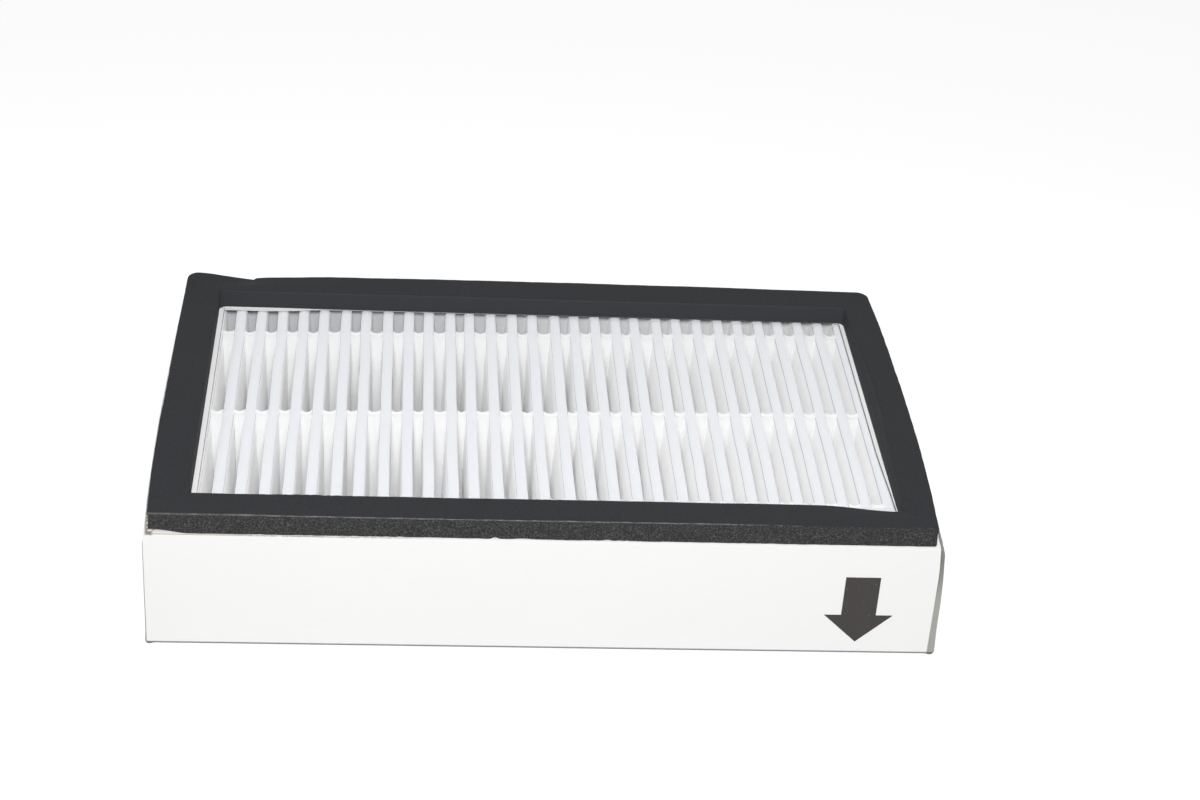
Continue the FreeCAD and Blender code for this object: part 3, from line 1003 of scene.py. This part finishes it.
def make_floor():
    """A wide white floor that keeps the part's shadow."""
    mesh = bpy.data.meshes.new("floor")
    corners = [(x * FLOOR_HALF, y * FLOOR_HALF, 0) for x, y in ((-1, -1), (1, -1), (1, 1), (-1, 1))]
    mesh.from_pydata(corners, [], [(0, 1, 2, 3)])
    material = bpy.data.materials.new("floor_white")
    material.use_nodes = True
    tree = material.node_tree
    tree.nodes.clear()
    output = tree.nodes.new("ShaderNodeOutputMaterial")
    diffuse = tree.nodes.new("ShaderNodeBsdfDiffuse")
    diffuse.inputs["Color"].default_value = (FLOOR_COLOUR, FLOOR_COLOUR, FLOOR_COLOUR, 1)
    glow = tree.nodes.new("ShaderNodeEmission")
    add = tree.nodes.new("ShaderNodeAddShader")
    tree.links.new(seen_directly(tree, FLOOR_GLOW), glow.inputs["Strength"])
    tree.links.new(diffuse.outputs["BSDF"], add.inputs[0])
    tree.links.new(glow.outputs["Emission"], add.inputs[1])
    tree.links.new(add.outputs["Shader"], output.inputs["Surface"])
    mesh.materials.append(material)
    floor = bpy.data.objects.new("floor", mesh)
    bpy.context.scene.collection.objects.link(floor)


def seen_directly(tree, strength):
    """This strength for rays from the camera, and through or off glossy things."""
    path = tree.nodes.new("ShaderNodeLightPath")
    total = path.outputs["Is Camera Ray"]
    for name in ("Is Glossy Ray", "Is Transmission Ray"):
        either = tree.nodes.new("ShaderNodeMath")
        either.operation = "MAXIMUM"
        tree.links.new(total, either.inputs[0])
        tree.links.new(path.outputs[name], either.inputs[1])
        total = either.outputs[0]
    scaled = tree.nodes.new("ShaderNodeMath")
    scaled.operation = "MULTIPLY"
    scaled.inputs[1].default_value = strength
    tree.links.new(total, scaled.inputs[0])
    return scaled.outputs[0]


def make_world():
    """Even light from all round, seen as white."""
    world = bpy.data.worlds.new("studio")
    bpy.context.scene.world = world
    world.use_nodes = True
    tree = world.node_tree
    tree.nodes.clear()
    output = tree.nodes.new("ShaderNodeOutputWorld")
    background = tree.nodes.new("ShaderNodeBackground")
    level = tree.nodes.new("ShaderNodeMath")
    level.operation = "ADD"
    level.inputs[1].default_value = WORLD_LEVEL
    tree.links.new(seen_directly(tree, 1.0 - WORLD_LEVEL), level.inputs[0])
    tree.links.new(level.outputs[0], background.inputs["Strength"])
    tree.links.new(background.outputs["Background"], output.inputs["Surface"])


def add_sun(name, side, height, softness, strength):
    """Even light from in front: side and height are its angles in degrees, left being negative."""
    light = bpy.data.lights.new(name, "SUN")
    light.angle = math.radians(softness)
    light.energy = strength
    side, height = math.radians(side), math.radians(height)
    source = Vector((math.sin(side) * math.cos(height), -math.cos(side) * math.cos(height), math.sin(height)))
    lamp = bpy.data.objects.new(name, light)
    lamp.rotation_euler = source.to_track_quat("Z", "Y").to_euler()
    lamp.location = source * 2
    bpy.context.scene.collection.objects.link(lamp)


def add_lamp(name, place, aim, size, watts):
    """A round soft lamp, placed in metres."""
    light = bpy.data.lights.new(name, "AREA")
    light.shape = "DISK"
    light.size = size
    light.energy = watts
    lamp = bpy.data.objects.new(name, light)
    lamp.location = place
    lamp.rotation_euler = (Vector(aim) - Vector(place)).to_track_quat("-Z", "Y").to_euler()
    bpy.context.scene.collection.objects.link(lamp)


PHOTO_WIDTH = 1200
SENSOR = 36.0             # millimetres
FOCAL_PIXELS = 2410
CAMERA_PLACE = Vector((-38.3, -556.4, 376.0))
CAMERA_LOOK = Vector((0.0834, 0.8512, -0.5182))
CAMERA_ROLL = math.radians(4.22)


def make_camera():
    """The photo's view, from in front and above, turned a little about its own axis."""
    data = bpy.data.cameras.new("camera")
    data.sensor_width = SENSOR
    data.lens = FOCAL_PIXELS / PHOTO_WIDTH * SENSOR
    data.clip_start = 0.01
    camera = bpy.data.objects.new("camera", data)
    turn = CAMERA_LOOK.to_track_quat("-Z", "Y").to_matrix() @ Matrix.Rotation(CAMERA_ROLL, 3, "Z")
    camera.matrix_world = Matrix.Translation(CAMERA_PLACE * MM) @ turn.to_4x4()
    bpy.context.scene.collection.objects.link(camera)
    bpy.context.scene.camera = camera


def dress_nodes(materials):
    """Gives each CAD node that stays in view its material."""
    slots = {entry["node"]: entry["material_slot"] for entry in frame["record"]["subparts"]}
    for name, node in frame["nodes"].items():
        node.data.materials.clear()
        node.data.materials.append(materials[slots[name]])


materials = {
    "board": board_material(),
    "foam": foam_material(),
    "filter_paper": paper_material(),
    "hot_melt": glue_material(),
    "ink": ink_material(),
}
dress_nodes(materials)
make_camera()
make_sheet(materials["filter_paper"])
make_glue(materials["hot_melt"])
make_gasket(materials["foam"])
make_board(materials["board"])
make_floor()
make_world()
add_lamp("key", KEY_PLACE, KEY_AIM, KEY_SIZE, KEY_WATTS)
add_sun("fill", 0, FILL_HEIGHT, FILL_SOFTNESS, FILL_STRENGTH)
bpy.context.scene.view_settings.view_transform = "Standard"
